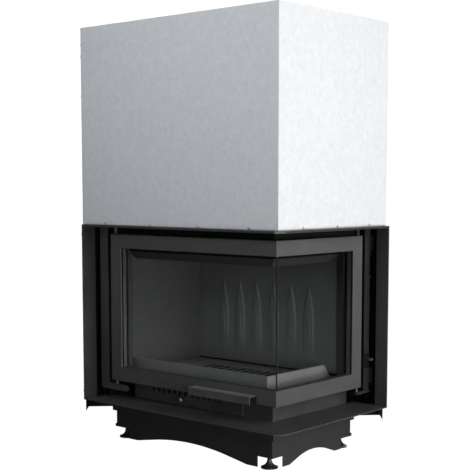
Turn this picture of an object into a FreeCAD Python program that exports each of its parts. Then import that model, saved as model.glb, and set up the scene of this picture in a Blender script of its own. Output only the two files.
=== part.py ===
# Fireplace insert with a lift-up corner glass door, in millimetres, +Z up.
# The origin is on the floor under the middle of the part. The front faces -Y and the glazed side +X.
# Plan places are measured left from the right side and back from the front side of the black frame.
import FreeCAD
import Part
import math
import os

os.makedirs("parts", exist_ok=True)
Vector = FreeCAD.Vector

# Frame: shelf, cheeks and lintel
frame_width = 750.0
frame_depth = 492.0
frame_height = 519.4
shelf_height = 138.0
sheet = 3.0
corner_clip = 20.0
lintel_edge = 6.4
lintel_reach = 40.0
cheek_left_reach = 50.0
cheek_right_reach = 41.0

# Allowances
overrun = 5.0
slide_clearance = 0.3
running_clearance = 0.05

# Galvanised casing
casing_height = 572.5
casing_sheet = 1.5
casing_right_inset = 32.5
casing_front_inset = 31.4
casing_left_overhang = 30.5
casing_back_overhang = 31.0

# Screws
screw_radius = 3.5
screw_head = 4.5
screw_edge = 4.0
front_screw_shares = (0.174, 0.414, 0.659, 0.905)
side_screw_shares = (0.274, 0.581, 0.886)
left_screw_shares = (0.653, 0.859, 0.915)
back_screw_shares = (0.152, 0.409, 0.655)
upright_screw_inset = 4.0
cheek_screw_shares = (0.046, 0.955)

# Corner posts and braces
post_leg = 25.0
post_drop = 48.0
post_point_rise = 30.0
brace_height = 30.0

# Plinth
plinth_inset = 130.0
plinth_left_margin = 2.0
plinth_back_overhang = 3.5
plinth_top = 88.0
leg_clearance = 1.5
front_notch = 53.0
side_notch = 47.0
front_leg = 38.0
side_leg = 30.0
arch_rise = 26.0
arch_slope_run_share = 0.2
arch_slope_rise_share = 0.6

# Base box between plinth and shelf
base_inset = 106.0
base_left_margin = 10.0
base_back_margin = 12.0

# Foot brackets and levelling feet
bracket_low = 33.0
bracket_plate = 4.0
bracket_lip = 9.0
bracket_length = 62.0
nut_radius = 9.0
nut_height = 8.0
foot_front_inset = 26.0
foot_side_inset = 20.0
foot_radius = 23.5
foot_rim = 4.0
foot_neck_radius = 6.0
foot_cone_top = 26.0
foot_neck_top = 31.0
foot_waist_shares = (0.36, 0.27)
stem_radius = 5.0
stem_top = 64.0

# Apron and air control
apron_inset = 120.0
apron_left_gap = 45.0
air_plate_right_share = 0.296
air_plate_length_share = 0.568
air_plate_gap = 3.0
air_plate_height = 46.0
air_plate_sheet = 3.0
air_channel = 3.0
air_lip = 3.0
air_slot_pitch_share = 0.0502
air_slot_width_share = 0.0258
air_slot_height = 13.5
air_slot_low = 28.5
air_group_shares = (0.819, 0.448)
air_group_counts = (7, 6)
air_window_margin = 12.0
air_knob_share = 0.535
air_knob_rise = 18.5
air_knob_radius = 8.5
air_knob_length = 15.0
air_knob_rim = 2.0
air_shaft_radius = 4.0
air_knob_slot_radius = 6.0
air_knob_travel = 16.0

# Firebox
firebox_inset = 98.0
firebox_left_margin = 46.0
firebox_back_margin = 30.0
firebox_wall = 4.0
roof_rise = 30.6
hearth_inset = 100.0
hearth_rise = 82.0
hearth_plate = 12.0
lining_left = 30.0
lining_back = 33.0
smoke_gap = 35.0
baffle = 25.0
baffle_front_gap = 90.0
baffle_right_inset = 150.0

# Log sill
sill_front_inset = 130.0
sill_right_inset = 147.0
sill_height = 36.7
sill = 8.0
sill_end_cut = 28.0
sill_back_gap = 4.0

# Opening surround
jamb_reach = 43.0
jamb_depth = 32.0
jamb_splay = 13.0
back_jamb_reach = 50.0
head_depth = 45.0
head_drop = 34.5
head_sheet = 4.0

# Ribbed back lining
rib_count = 6
rib_pitch_share = 0.12375
rib_half_share = 0.3
rib_border = 6.0
rib_relief = 6.0
rib_low = 29.0
rib_spring = 120.0
rib_height = 233.0
rib_bulge_share = 0.72
leaf_scale_share = 0.62

# Grate and ash pan
grate_left_share = 0.757
grate_width_share = 0.404
grate_front_share = 0.362
grate_depth_share = 0.392
grate_plate = 5.5
grate_seat = 6.0
grate_ledge = 12.0
grate_play = 0.5
grate_slots = 9
grate_slot_width = 14.5
grate_slot_margin = 16.0
pan_margin = 8.0
pan_height = 86.0
pan_sheet = 1.5

# Smoke dome and flue outlet
dome_width_share = 0.507
dome_depth_share = 0.61
dome_height = 170.0
dome_sheet = 3.0
flue_radius = 90.0
flue_sheet = 3.0
flue_stand = 22.0
flue_stop = 2.0
flue_flange = 16.0
flue_flange_plate = 4.0
flue_hole_gap = 0.8

# Door
door_inset = 60.0
door_left_margin = 59.0
door_back_margin = 46.0
door_low_gap = 56.0
door_top_gap = 28.4
door_bottom_bar = 43.0
door_top_bar = 41.0
door_post = 44.0
door_depth = 22.0
door_flange = 4.0
glass = 4.0
glass_lap = 12.0
glass_play = 0.3
gasket = 1.0
seal_width = 1.5
clip_length = 24.0
clip_height = 9.0
clip_plate = 2.5
front_clip_shares = (0.2, 0.5, 0.8)
side_clip_shares = (0.3, 0.75)

# Handle
handle_right = 127.0
handle_length = 222.0
handle_reach = 30.0
handle_drop = 22.0
handle_rise = 24.0
handle_plate = 3.0

# Carriages, shoes and guide rails
carriage_back = 72.0
carriage_plate = 4.0
strip_left_margin = 0.5
strip_width = 32.0
arm_height = 18.0
arm_gap = 14.0
top_arm_height = 12.0
top_arm_gap = 20.0
arm_reach = 106.0
top_arm_reach = 90.0
hinge_pin_radius = 5.0
hinge_pin_inset = 8.0
side_line = 70.0
side_strip_gap = 25.5
side_strip_width = 26.0
side_cable_gap = 40.0
side_arm_width = 12.0
side_arm_height = 8.0
side_bolt_radius = 4.0
side_bolt_length = 4.0
side_bolt_edge = 5.0
side_bolt_shares = (0.714, 0.841)
shoe_width = 20.0
shoe_depth = 25.0
shoe_height = 44.0
shoe_shares = (0.119, 0.859)
rail_wall = 2.5
rail_gap = 4.0
rail_depth = 24.0
rail_top_gap = 142.0
back_rail_depth = 18.5
back_plate_left = 200.0
low_plate_width = 18.0

# Door latch
latch_rise_share = 0.21
latch_height = 39.0
latch_width = 24.0
latch_gap = 8.0
latch_depth = 30.0
latch_knob_back = 24.0
latch_knob_lift = 25.0
latch_spindle_radius = 4.0
latch_spindle_seat = 3.0
latch_neck = 6.0
latch_knob_length = 7.0
latch_knob_radius = 4.5
latch_wing_half = 7.5
latch_wing_thick = 5.0

# Counterweights, pulleys and cables
pulley_drop = 91.9
pulley_path_radius = 45.0
pulley_flange = 5.0
pulley_half_width = 6.0
groove_half_width = 2.6
groove_lip = 1.8
axle_radius = 6.0
bracket_width = 30.0
bracket_sheet = 3.0
bracket_side_gap = 1.0
bracket_tail = 14.0
cable_radius = 2.0
weight_drop = 70.0
weight_height = 260.0
left_weight_half = 28.0
left_weight_length = 104.0
back_weight_half = 21.0
back_weight_length = 136.0

# Places worked out from the sizes above
right_side = (frame_width + casing_left_overhang + screw_head) / 2
front_side = -(frame_depth + casing_back_overhang + screw_head) / 2
frame_top = shelf_height + frame_height
casing_top = frame_top + casing_height
casing_left = frame_width + casing_left_overhang
casing_back = frame_depth + casing_back_overhang
base_left = frame_width - base_left_margin
base_back = frame_depth - base_back_margin
base_high = shelf_height - sheet
plinth_left = frame_width - plinth_left_margin
plinth_back = frame_depth + plinth_back_overhang
firebox_left = frame_width - firebox_left_margin
firebox_back = frame_depth - firebox_back_margin
wall_left = firebox_left - firebox_wall
wall_back = firebox_back - firebox_wall
lining_face_left = wall_left - lining_left
lining_face_back = wall_back - lining_back
roof_low = frame_top + roof_rise
hearth_top = shelf_height + hearth_rise
hearth_low = hearth_top - hearth_plate
lining_top = roof_low - smoke_gap - baffle
jamb_back = firebox_inset + jamb_depth
head_inset = firebox_inset + head_depth
door_left = frame_width - door_left_margin
door_back = frame_depth - door_back_margin
door_low = shelf_height + door_low_gap
door_top = frame_top - door_top_gap
door_rear = door_inset + door_depth
pane_low = door_low + door_bottom_bar
pane_top = door_top - door_top_bar
pane_left = door_left - door_post
pane_back = door_back - door_post
glass_inset = door_inset + door_flange
glass_rear = glass_inset + glass
gasket_rear = glass_rear + gasket
rebate_low = pane_low - glass_lap
rebate_top = pane_top + glass_lap
rebate_left = pane_left + glass_lap
rebate_back = pane_back + glass_lap
strip_left = frame_width + strip_left_margin
strip_right = strip_left - strip_width
rail_left_centre = strip_right + strip_width / 2
arm_top = door_low - arm_gap
arm_low = arm_top - arm_height
top_arm_low = door_top + top_arm_gap
carriage_top = top_arm_low + top_arm_height
carriage_rear = carriage_back + carriage_plate
carriage_line = carriage_back + carriage_plate / 2
side_strip_front = door_back + side_strip_gap
side_strip_back = side_strip_front + side_strip_width
side_strip_lefts = (side_line - carriage_plate / 2, side_line + carriage_plate / 2)
side_cable_back = door_back + side_cable_gap
rail_top = casing_top - rail_top_gap
latch_low = shelf_height + frame_height * latch_rise_share
pulley_height = casing_top - pulley_drop
weight_top = pulley_height - weight_drop
weight_low = weight_top - weight_height
flue_left = (firebox_inset + firebox_left) / 2
flue_back = (firebox_inset + firebox_back) / 2
dome_width = frame_width * dome_width_share
dome_depth = frame_depth * dome_depth_share
dome_top = roof_low + firebox_wall + dome_height
grate_left = frame_width * grate_left_share
grate_width = frame_width * grate_width_share
grate_front = frame_depth * grate_front_share
grate_depth = frame_depth * grate_depth_share
air_plate_right = frame_width * air_plate_right_share
air_plate_length = frame_width * air_plate_length_share
air_knob_left = air_plate_right + air_plate_length * air_knob_share
air_plate_front = apron_inset - air_channel - air_plate_sheet
air_plate_low = shelf_height + air_plate_gap
air_plate_top = air_plate_low + air_plate_height


def spot(left, back, up):
    """A point from its distance left of the right side, back from the front side and above the floor."""
    return Vector(right_side - left, front_side + back, up)


def block(lefts, backs, ups):
    """A box between two distances to the left, two to the back and two heights."""
    size = (lefts[1] - lefts[0], backs[1] - backs[0], ups[1] - ups[0])
    return Part.makeBox(*size, spot(lefts[1], backs[0], ups[0]))


def extruded(points, direction):
    """A solid from a closed outline of straight lines, pushed along a direction."""
    return Part.Face(Part.makePolygon(points + points[:1])).extrude(direction)


def plan_prism(points, ups):
    """A prism on an outline of (left, back) points."""
    return extruded([spot(left, back, ups[0]) for left, back in points], Vector(0, 0, ups[1] - ups[0]))


def rod_along(start, end, radius):
    """A round bar between two points."""
    return Part.makeCylinder(radius, (end - start).Length, start, end - start)


def fused(shapes):
    """Several shapes as one solid."""
    return shapes[0].multiFuse(shapes[1:]).removeSplitter()


def corner_sweep(section, left_end, back_end):
    """A section of (inset, height) points carried along the front and round the corner along the right side."""
    front = extruded([spot(0, inset, up) for inset, up in section], Vector(-left_end, 0, 0))
    right = extruded([spot(inset, 0, up) for inset, up in section], Vector(0, back_end, 0))
    reach = frame_width + frame_depth
    lowest = min(up for inset, up in section) - overrun
    highest = max(up for inset, up in section) + overrun
    front_half = plan_prism([(0, 0), (reach, 0), (reach, reach)], (lowest, highest))
    right_half = plan_prism([(0, 0), (reach, reach), (0, reach)], (lowest, highest))
    return fused([front.common(front_half), right.common(right_half)])


def band(insets, ups, left_end, back_end):
    """A corner sweep with a rectangular section."""
    section = [(insets[0], ups[0]), (insets[1], ups[0]), (insets[1], ups[1]), (insets[0], ups[1])]
    return corner_sweep(section, left_end, back_end)


def clipped(shape, ups):
    """A piece of the frame with its front right corner clipped."""
    return shape.cut(plan_prism([(0, 0), (corner_clip, 0), (0, corner_clip)], (ups[0] - overrun, ups[1] + overrun)))


def save(name, *shapes):
    """One node: a single solid, or a group of separate solids."""
    shape = shapes[0] if len(shapes) == 1 else Part.makeCompound(list(shapes))
    shape.exportStep("parts/%s.step" % name)


def make_frame():
    shelf_levels = (base_high, shelf_height)
    save("shelf", clipped(band((0, apron_inset), shelf_levels, frame_width, frame_depth), shelf_levels))
    lintel_levels = (frame_top - lintel_edge, frame_top)
    save("lintel", clipped(band((0, lintel_reach), lintel_levels, frame_width, frame_depth), lintel_levels))
    cheek_levels = (shelf_height, frame_top - lintel_edge)
    save("cheek_left", block((frame_width - sheet, frame_width), (0, cheek_left_reach), cheek_levels))
    save("cheek_right", block((0, cheek_right_reach), (frame_depth - sheet, frame_depth), cheek_levels))


def make_post(left, back, left_sign, back_sign):
    """An angle post in a casing corner, with its lower end cut to a point at the outer edge."""
    low = shelf_height - post_drop
    high = casing_top - casing_sheet

    def leg(along_left):
        width = (post_leg, sheet) if along_left else (sheet, post_leg)
        lefts = sorted((left, left + left_sign * width[0]))
        backs = sorted((back, back + back_sign * width[1]))
        return block(lefts, backs, (low, high))

    post = fused([leg(True), leg(False)])
    step = post_point_rise * (post_leg + overrun) / post_leg
    far_left = left + left_sign * (post_leg + overrun)
    far_back = back + back_sign * (post_leg + overrun)
    tip = spot(left, back, low)
    along = spot(far_left, back, low + step)
    across = spot(left, far_back, low + step)
    cutter = Part.Face(Part.makePolygon([tip, along, across, tip])).extrude(Vector(0, 0, -step - overrun))
    return post.cut(cutter)


def make_posts():
    right = casing_right_inset + casing_sheet
    front = casing_front_inset + casing_sheet
    left = casing_left - casing_sheet
    back = casing_back - casing_sheet
    save("corner_posts", make_post(left, front, -1, 1), make_post(right, back, 1, -1), make_post(left, back, -1, -1))

    levels = (base_high - brace_height, base_high)
    thick = sheet * math.sqrt(2)
    run = base_inset - front - sheet
    start = left - sheet - thick
    front_brace = plan_prism(
        [
            (start + thick, front + sheet),
            (start, front + sheet),
            (start - run, base_inset),
            (start + thick - run, base_inset),
        ],
        levels,
    )
    side_run = base_inset - right - sheet
    side_start = back - sheet - thick
    side_brace = plan_prism(
        [
            (right + sheet, side_start + thick),
            (right + sheet, side_start),
            (base_inset, side_start - side_run),
            (base_inset, side_start + thick - side_run),
        ],
        levels,
    )
    rear_run = left - sheet - base_left
    rear_start = base_back - thick
    rear_brace = plan_prism(
        [
            (base_left, rear_start),
            (base_left, rear_start + thick),
            (left - sheet, rear_start + thick + rear_run),
            (left - sheet, rear_start + rear_run),
        ],
        levels,
    )
    save("corner_braces", front_brace, side_brace, rear_brace)


def make_casing():
    lefts = (casing_right_inset, casing_left)
    backs = (casing_front_inset, casing_back)
    levels = (frame_top, casing_top)
    inner_backs = (backs[0] + casing_sheet, backs[1] - casing_sheet)
    inner_lefts = (lefts[0] + casing_sheet, lefts[1] - casing_sheet)
    save("casing_front", block(lefts, (backs[0], inner_backs[0]), levels))
    save("casing_back", block(lefts, (inner_backs[1], backs[1]), levels))
    save("casing_right", block((lefts[0], inner_lefts[0]), inner_backs, levels))
    save("casing_left", block((inner_lefts[1], lefts[1]), inner_backs, levels))
    lid = block(inner_lefts, inner_backs, (casing_top - casing_sheet, casing_top))
    hole = Part.makeCylinder(
        flue_radius + flue_sheet + flue_hole_gap,
        casing_sheet + 2 * overrun,
        spot(flue_left, flue_back, casing_top - casing_sheet - overrun),
    )
    save("casing_lid", lid.cut(hole))

    heads = []
    row = frame_top + screw_edge
    for share in front_screw_shares:
        foot = spot(frame_width * share, casing_front_inset, row)
        heads.append(Part.makeCylinder(screw_radius, screw_head, foot, Vector(0, -1, 0)))
    for share in side_screw_shares:
        foot = spot(casing_right_inset, frame_depth * share, row)
        heads.append(Part.makeCylinder(screw_radius, screw_head, foot, Vector(1, 0, 0)))
    for back in (casing_front_inset + upright_screw_inset, casing_back - upright_screw_inset):
        for share in left_screw_shares:
            foot = spot(casing_left, back, frame_top + casing_height * share)
            heads.append(Part.makeCylinder(screw_radius, screw_head, foot, Vector(-1, 0, 0)))
    for left in (casing_right_inset + upright_screw_inset, casing_left - upright_screw_inset):
        for share in back_screw_shares:
            foot = spot(left, casing_back, frame_top + casing_height * share)
            heads.append(Part.makeCylinder(screw_radius, screw_head, foot, Vector(0, 1, 0)))
    for share in cheek_screw_shares:
        foot = spot(frame_width, upright_screw_inset, shelf_height + (frame_height - lintel_edge) * share)
        heads.append(Part.makeCylinder(screw_radius, screw_head, foot, Vector(-1, 0, 0)))
    save("casing_screws", *heads)


def plinth_corners():
    """The four outer corners of the plinth, each with its directions inward."""
    return {
        "front_right": (plinth_inset, plinth_inset, 1, 1),
        "front_left": (plinth_left, plinth_inset, -1, 1),
        "back_right": (plinth_inset, plinth_back, 1, -1),
        "back_left": (plinth_left, plinth_back, -1, -1),
    }


def corner_block(corner, lefts, backs, ups):
    """A box at a plinth corner, measured inward from the corner's outer faces."""
    left, back, left_sign, back_sign = corner
    return block(
        sorted(left + left_sign * value for value in lefts),
        sorted(back + back_sign * value for value in backs),
        ups,
    )


def arch_cutter(start, end, place, direction):
    """A shallow arch under one side of the plinth, with a straight slope up from each leg."""
    run = (end - start) * arch_slope_run_share
    shoulder = leg_clearance + arch_rise * arch_slope_rise_share
    crown = leg_clearance + arch_rise
    below = leg_clearance - overrun
    points = [(start + run, shoulder), (start, leg_clearance), (start, below), (end, below), (end, leg_clearance)]
    points.append((end - run, shoulder))
    places = [place(along, up) for along, up in points]
    edges = [Part.LineSegment(first, second).toShape() for first, second in zip(places, places[1:])]
    edges.append(Part.Arc(places[-1], place((start + end) / 2, crown), places[0]).toShape())
    return Part.Face(Part.Wire(edges)).extrude(direction)


def make_plinth():
    lefts = (plinth_inset, plinth_left)
    backs = (plinth_inset, plinth_back)
    inner_lefts = (lefts[0] + sheet, lefts[1] - sheet)
    inner_backs = (backs[0] + sheet, backs[1] - sheet)
    ring = block(lefts, backs, (leg_clearance, plinth_top))
    ring = ring.cut(block(inner_lefts, inner_backs, (leg_clearance - overrun, plinth_top + overrun)))
    notch_top = bracket_low + bracket_plate
    for corner in plinth_corners().values():
        notches = ((-overrun, front_notch), (-overrun, side_notch))
        ring = ring.cut(corner_block(corner, *notches, (leg_clearance - overrun, notch_top)))
    front_end = front_notch + front_leg
    side_end = side_notch + side_leg
    before = backs[0] - overrun
    through = Vector(0, backs[1] - backs[0] + 2 * overrun, 0)
    ring = ring.cut(
        arch_cutter(lefts[0] + front_end, lefts[1] - front_end, lambda along, up: spot(along, before, up), through)
    )
    beside = lefts[0] - overrun
    across = Vector(lefts[0] - lefts[1] - 2 * overrun, 0, 0)
    ring = ring.cut(
        arch_cutter(backs[0] + side_end, backs[1] - side_end, lambda along, up: spot(beside, along, up), across)
    )
    save("plinth", ring)

    outer = block((base_inset, base_left), (base_inset, base_back), (plinth_top, base_high))
    hollow = block(
        (base_inset + sheet, base_left - sheet),
        (base_inset + sheet, base_back - sheet),
        (plinth_top + sheet, base_high + overrun),
    )
    save("base_box", outer.cut(hollow))


def make_foot(left, back):
    """A levelling foot: dished base, waist, neck and threaded stem, turned about its own axis."""
    waist_radius = foot_neck_radius + (foot_radius - foot_neck_radius) * foot_waist_shares[1]
    waist_height = foot_rim + (foot_cone_top - foot_rim) * foot_waist_shares[0]
    centre = spot(left, back, 0)

    def at(radius, up):
        return centre + Vector(radius, 0, up)

    points = [
        at(foot_neck_radius, foot_cone_top),
        at(foot_neck_radius, foot_neck_top),
        at(stem_radius, foot_neck_top),
        at(stem_radius, stem_top),
        at(0, stem_top),
        at(0, 0),
        at(foot_radius, 0),
        at(foot_radius, foot_rim),
    ]
    edges = [Part.LineSegment(first, second).toShape() for first, second in zip(points, points[1:])]
    edges.append(Part.Arc(points[-1], at(waist_radius, waist_height), points[0]).toShape())
    return Part.Face(Part.Wire(edges)).revolve(centre, Vector(0, 0, 1), 360)


def make_feet():
    brackets = []
    plate_levels = (bracket_low, bracket_low + bracket_plate)
    lip_levels = (bracket_low, bracket_low + bracket_lip)
    for name, corner in plinth_corners().items():
        left, back, left_sign, back_sign = corner
        foot_left = left + left_sign * foot_front_inset
        foot_back = back + back_sign * foot_side_inset
        centre = spot(foot_left, foot_back, bracket_low)
        outside = (-sheet, 0)
        front = (-sheet, front_notch)
        side = (-sheet, side_notch)
        inside = (sheet, bracket_length)
        bracket = fused(
            [
                corner_block(corner, front, side, plate_levels),
                corner_block(corner, inside, inside, plate_levels),
                corner_block(corner, outside, side, lip_levels),
                corner_block(corner, front, outside, lip_levels),
                Part.makeCylinder(nut_radius, bracket_plate + nut_height, centre),
            ]
        )
        thread = Part.makeCylinder(stem_radius + running_clearance, stem_top, spot(foot_left, foot_back, 0))
        brackets.append(bracket.cut(thread))
        save("levelling_foot_%s" % name, make_foot(foot_left, foot_back))
    save("foot_brackets", *brackets)


def obround(left_end, right_end, radius, up, backs):
    """A level slot with round ends, cut through a plate from front to back."""
    depth = backs[1] - backs[0]
    ends = [
        Part.makeCylinder(radius, depth, spot(left, backs[0], up), Vector(0, 1, 0)) for left in (left_end, right_end)
    ]
    return fused(ends + [block((right_end, left_end), backs, (up - radius, up + radius))])


def air_slots(backs):
    """The two groups of upright slots shared by the air plate and its slider."""
    low = shelf_height + air_slot_low
    slots = []
    pitch = air_plate_length * air_slot_pitch_share
    width = air_plate_length * air_slot_width_share
    for share, count in zip(air_group_shares, air_group_counts):
        for number in range(count):
            middle = air_plate_right + air_plate_length * share - number * pitch
            lefts = (middle - width / 2, middle + width / 2)
            slots.append(block(lefts, backs, (low, low + air_slot_height)))
    return slots


def make_air_control():
    lefts = (air_plate_right, air_plate_right + air_plate_length)
    levels = (air_plate_low, air_plate_top)
    plate_rear = air_plate_front + air_plate_sheet
    through = (air_plate_front - overrun, apron_inset + overrun)
    knob_up = shelf_height + air_knob_rise
    plate = block(lefts, (air_plate_front, apron_inset), levels)
    channel_levels = (air_plate_low + air_lip, air_plate_top - air_lip)
    plate = plate.cut(block((lefts[0] - overrun, lefts[1] + overrun), (plate_rear, through[1]), channel_levels))
    plate = plate.cut(Part.makeCompound(air_slots(through)))
    knob_slot = obround(air_knob_left, air_knob_left - air_knob_travel, air_knob_slot_radius, knob_up, through)
    save("air_plate", plate.cut(knob_slot))

    slider_backs = (plate_rear + slide_clearance, apron_inset - slide_clearance)
    slider = block(
        (lefts[0] + air_window_margin, lefts[1] - air_window_margin),
        slider_backs,
        (channel_levels[0] + slide_clearance, channel_levels[1] - slide_clearance),
    )
    save("air_slider", slider.cut(Part.makeCompound(air_slots(through))))

    shaft_end = spot(air_knob_left, slider_backs[0], knob_up)
    grip_start = air_plate_front - air_knob_rim
    shaft = rod_along(spot(air_knob_left, grip_start, knob_up), shaft_end, air_shaft_radius)
    grip = rod_along(
        spot(air_knob_left, grip_start - air_knob_length, knob_up),
        spot(air_knob_left, grip_start, knob_up),
        air_knob_radius,
    )
    grip = grip.makeFillet(air_knob_rim, grip.Edges)
    save("air_knob", fused([grip, shaft]))

    apron = band((apron_inset, apron_inset + sheet), (plinth_top + sheet, hearth_low), wall_left - apron_left_gap, wall_back)
    window = block(
        (lefts[0] + 2 * air_window_margin, lefts[1] - 2 * air_window_margin),
        (apron_inset - overrun, apron_inset + sheet + overrun),
        (shelf_height + air_slot_low, shelf_height + air_slot_low + air_slot_height),
    )
    save("apron", apron.cut(window))


def make_firebox():
    floor = plinth_top + sheet
    left_wall = block((wall_left, firebox_left), (firebox_inset, firebox_back), (floor, roof_low))
    back_wall = block((firebox_inset, wall_left), (wall_back, firebox_back), (floor, roof_low))
    corner_gap = block(
        (wall_left - overrun, firebox_left + overrun), (firebox_inset - overrun, apron_inset), (floor, hearth_low)
    )
    side_gap = block(
        (firebox_inset - overrun, apron_inset), (wall_back - overrun, firebox_back + overrun), (floor, hearth_low)
    )
    walls = fused([left_wall, back_wall])
    save("firebox_walls", walls.cut(corner_gap).cut(side_gap))

    roof = block((firebox_inset, firebox_left), (firebox_inset, firebox_back), (roof_low, roof_low + firebox_wall))
    dome_lefts = (flue_left - dome_width / 2, flue_left + dome_width / 2)
    dome_backs = (flue_back - dome_depth / 2, flue_back + dome_depth / 2)
    throat = block(
        (dome_lefts[0] + dome_sheet, dome_lefts[1] - dome_sheet),
        (dome_backs[0] + dome_sheet, dome_backs[1] - dome_sheet),
        (roof_low - overrun, roof_low + firebox_wall + overrun),
    )
    save("firebox_roof", roof.cut(throat))

    hearth = block((hearth_inset, wall_left), (hearth_inset, wall_back), (hearth_low, hearth_top))
    seat_lefts = (grate_left - grate_width - grate_play, grate_left + grate_play)
    seat_backs = (grate_front - grate_play, grate_front + grate_depth + grate_play)
    seat = block(seat_lefts, seat_backs, (hearth_top - grate_seat, hearth_top + overrun))
    drop_lefts = (seat_lefts[0] + grate_ledge, seat_lefts[1] - grate_ledge)
    drop_backs = (seat_backs[0] + grate_ledge, seat_backs[1] - grate_ledge)
    drop = block(drop_lefts, drop_backs, (hearth_low - overrun, hearth_top))
    save("hearth_plate", hearth.cut(seat).cut(drop))

    grate_low = hearth_top - grate_seat
    grate = block(
        (grate_left - grate_width, grate_left),
        (grate_front, grate_front + grate_depth),
        (grate_low, grate_low + grate_plate),
    )
    pitch = (grate_width - 2 * grate_slot_margin) / grate_slots
    slot_backs = (grate_front + grate_slot_margin, grate_front + grate_depth - grate_slot_margin)
    for number in range(grate_slots):
        middle = grate_left - grate_slot_margin - (number + 0.5) * pitch
        slot_lefts = (middle - grate_slot_width / 2, middle + grate_slot_width / 2)
        grate = grate.cut(block(slot_lefts, slot_backs, (grate_low - overrun, hearth_top + overrun)))
    save("fire_grate", grate)

    pan_lefts = (drop_lefts[0] - pan_margin, drop_lefts[1] + pan_margin)
    pan_backs = (drop_backs[0] - pan_margin, drop_backs[1] + pan_margin)
    pan = block(pan_lefts, pan_backs, (floor, floor + pan_height))
    pan_hollow = block(
        (pan_lefts[0] + pan_sheet, pan_lefts[1] - pan_sheet),
        (pan_backs[0] + pan_sheet, pan_backs[1] - pan_sheet),
        (floor + pan_sheet, floor + pan_height + overrun),
    )
    save("ash_pan", pan.cut(pan_hollow))

    lining_lefts = (lining_face_left, wall_left)
    save("lining_left", block(lining_lefts, (jamb_back, lining_face_back), (hearth_top, lining_top)))
    plate = block((lining_right(), wall_left), (lining_face_back, wall_back), (hearth_top, lining_top))
    save("lining_back", fused([plate] + lining_ribs()))
    save(
        "baffle",
        block(
            (baffle_right_inset, wall_left),
            (firebox_inset + baffle_front_gap, wall_back),
            (lining_top, lining_top + baffle),
        ),
    )


def lining_right():
    """How far from the right side the back lining starts, behind the splayed back jamb."""
    return firebox_inset + jamb_depth


def pointed_arch(middle, half_width, low, spring, tip, back):
    """The outline of a pointed arch on the back lining, as a face."""
    bulge = half_width * rib_bulge_share
    halfway = (spring + tip) / 2
    corners = [
        spot(middle + half_width, back, spring),
        spot(middle + half_width, back, low),
        spot(middle - half_width, back, low),
        spot(middle - half_width, back, spring),
    ]
    top = spot(middle, back, tip)
    edges = [Part.LineSegment(first, second).toShape() for first, second in zip(corners, corners[1:])]
    edges.append(Part.Arc(corners[-1], spot(middle - bulge, back, halfway), top).toShape())
    edges.append(Part.Arc(top, spot(middle + bulge, back, halfway), corners[0]).toShape())
    return Part.Face(Part.Wire(edges))


def lining_ribs():
    """Raised pointed arches across the back lining, each with a smaller leaf inside its border."""
    centre = (lining_right() + lining_face_left) / 2
    face = lining_face_back - rib_relief
    low = hearth_top + rib_low
    pitch = (lining_face_left - lining_right()) * rib_pitch_share
    half_width = pitch * rib_half_share
    ribs = []
    for number in range(rib_count):
        middle = centre + (number - (rib_count - 1) / 2) * pitch
        depth = Vector(0, rib_relief, 0)
        tip = low + rib_height
        spring = low + rib_spring
        outer = pointed_arch(middle, half_width, low, spring, tip, face).extrude(depth)
        inner_half = half_width - rib_border
        inner = pointed_arch(middle, inner_half, low + rib_border, spring, tip - 3 * rib_border, face).extrude(depth)
        leaf_half = inner_half * leaf_scale_share
        leaf_tip = low + rib_height * leaf_scale_share
        leaf_spring = low + rib_spring * leaf_scale_share
        leaf = pointed_arch(middle, leaf_half, low, leaf_spring, leaf_tip, face).extrude(depth)
        ribs.append(outer.cut(inner))
        ribs.append(leaf)
    return ribs


def make_surround():
    front_levels = (hearth_top, hearth_top + sill_height)
    sill_end = lining_face_left
    front = extruded(
        [
            spot(sill_right_inset, sill_front_inset, front_levels[0]),
            spot(sill_end, sill_front_inset, front_levels[0]),
            spot(sill_end, sill_front_inset, front_levels[1]),
            spot(sill_right_inset, sill_front_inset, front_levels[1]),
        ],
        Vector(0, sill, 0),
    )
    side_end = lining_face_back - rib_relief - sill_back_gap
    right = extruded(
        [
            spot(sill_right_inset, sill_front_inset, front_levels[0]),
            spot(sill_right_inset, side_end, front_levels[0]),
            spot(sill_right_inset, side_end - sill_end_cut, front_levels[1]),
            spot(sill_right_inset, sill_front_inset, front_levels[1]),
        ],
        Vector(-sill, 0, 0),
    )
    save("log_sill", fused([front, right]))

    jamb_levels = (hearth_top, pane_top)
    edge = wall_left - jamb_reach
    left_jamb = plan_prism(
        [(edge, firebox_inset), (wall_left, firebox_inset), (wall_left, jamb_back), (edge + jamb_splay, jamb_back)],
        jamb_levels,
    )
    back_edge = wall_back - back_jamb_reach
    back_jamb = plan_prism(
        [
            (firebox_inset, back_edge),
            (firebox_inset, wall_back),
            (lining_right(), wall_back),
            (lining_right(), back_edge + jamb_splay),
        ],
        jamb_levels,
    )
    save("surround_jambs", left_jamb, back_jamb)

    slope = [
        (firebox_inset, pane_top),
        (head_inset, pane_top - head_drop),
        (head_inset, pane_top - head_drop + head_sheet),
        (firebox_inset + head_sheet, pane_top + head_sheet),
        (firebox_inset + head_sheet, roof_low),
        (firebox_inset, roof_low),
    ]
    head = corner_sweep(slope, wall_left, wall_back)
    linings = fused(
        [
            block((lining_face_left, wall_left + overrun), (jamb_back, wall_back), (hearth_top, pane_top)),
            block((lining_right(), wall_left), (lining_face_back - rib_relief, wall_back + overrun), (hearth_top, pane_top)),
            left_jamb,
            back_jamb,
        ]
    )
    save("surround_head", head.cut(linings))


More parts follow.
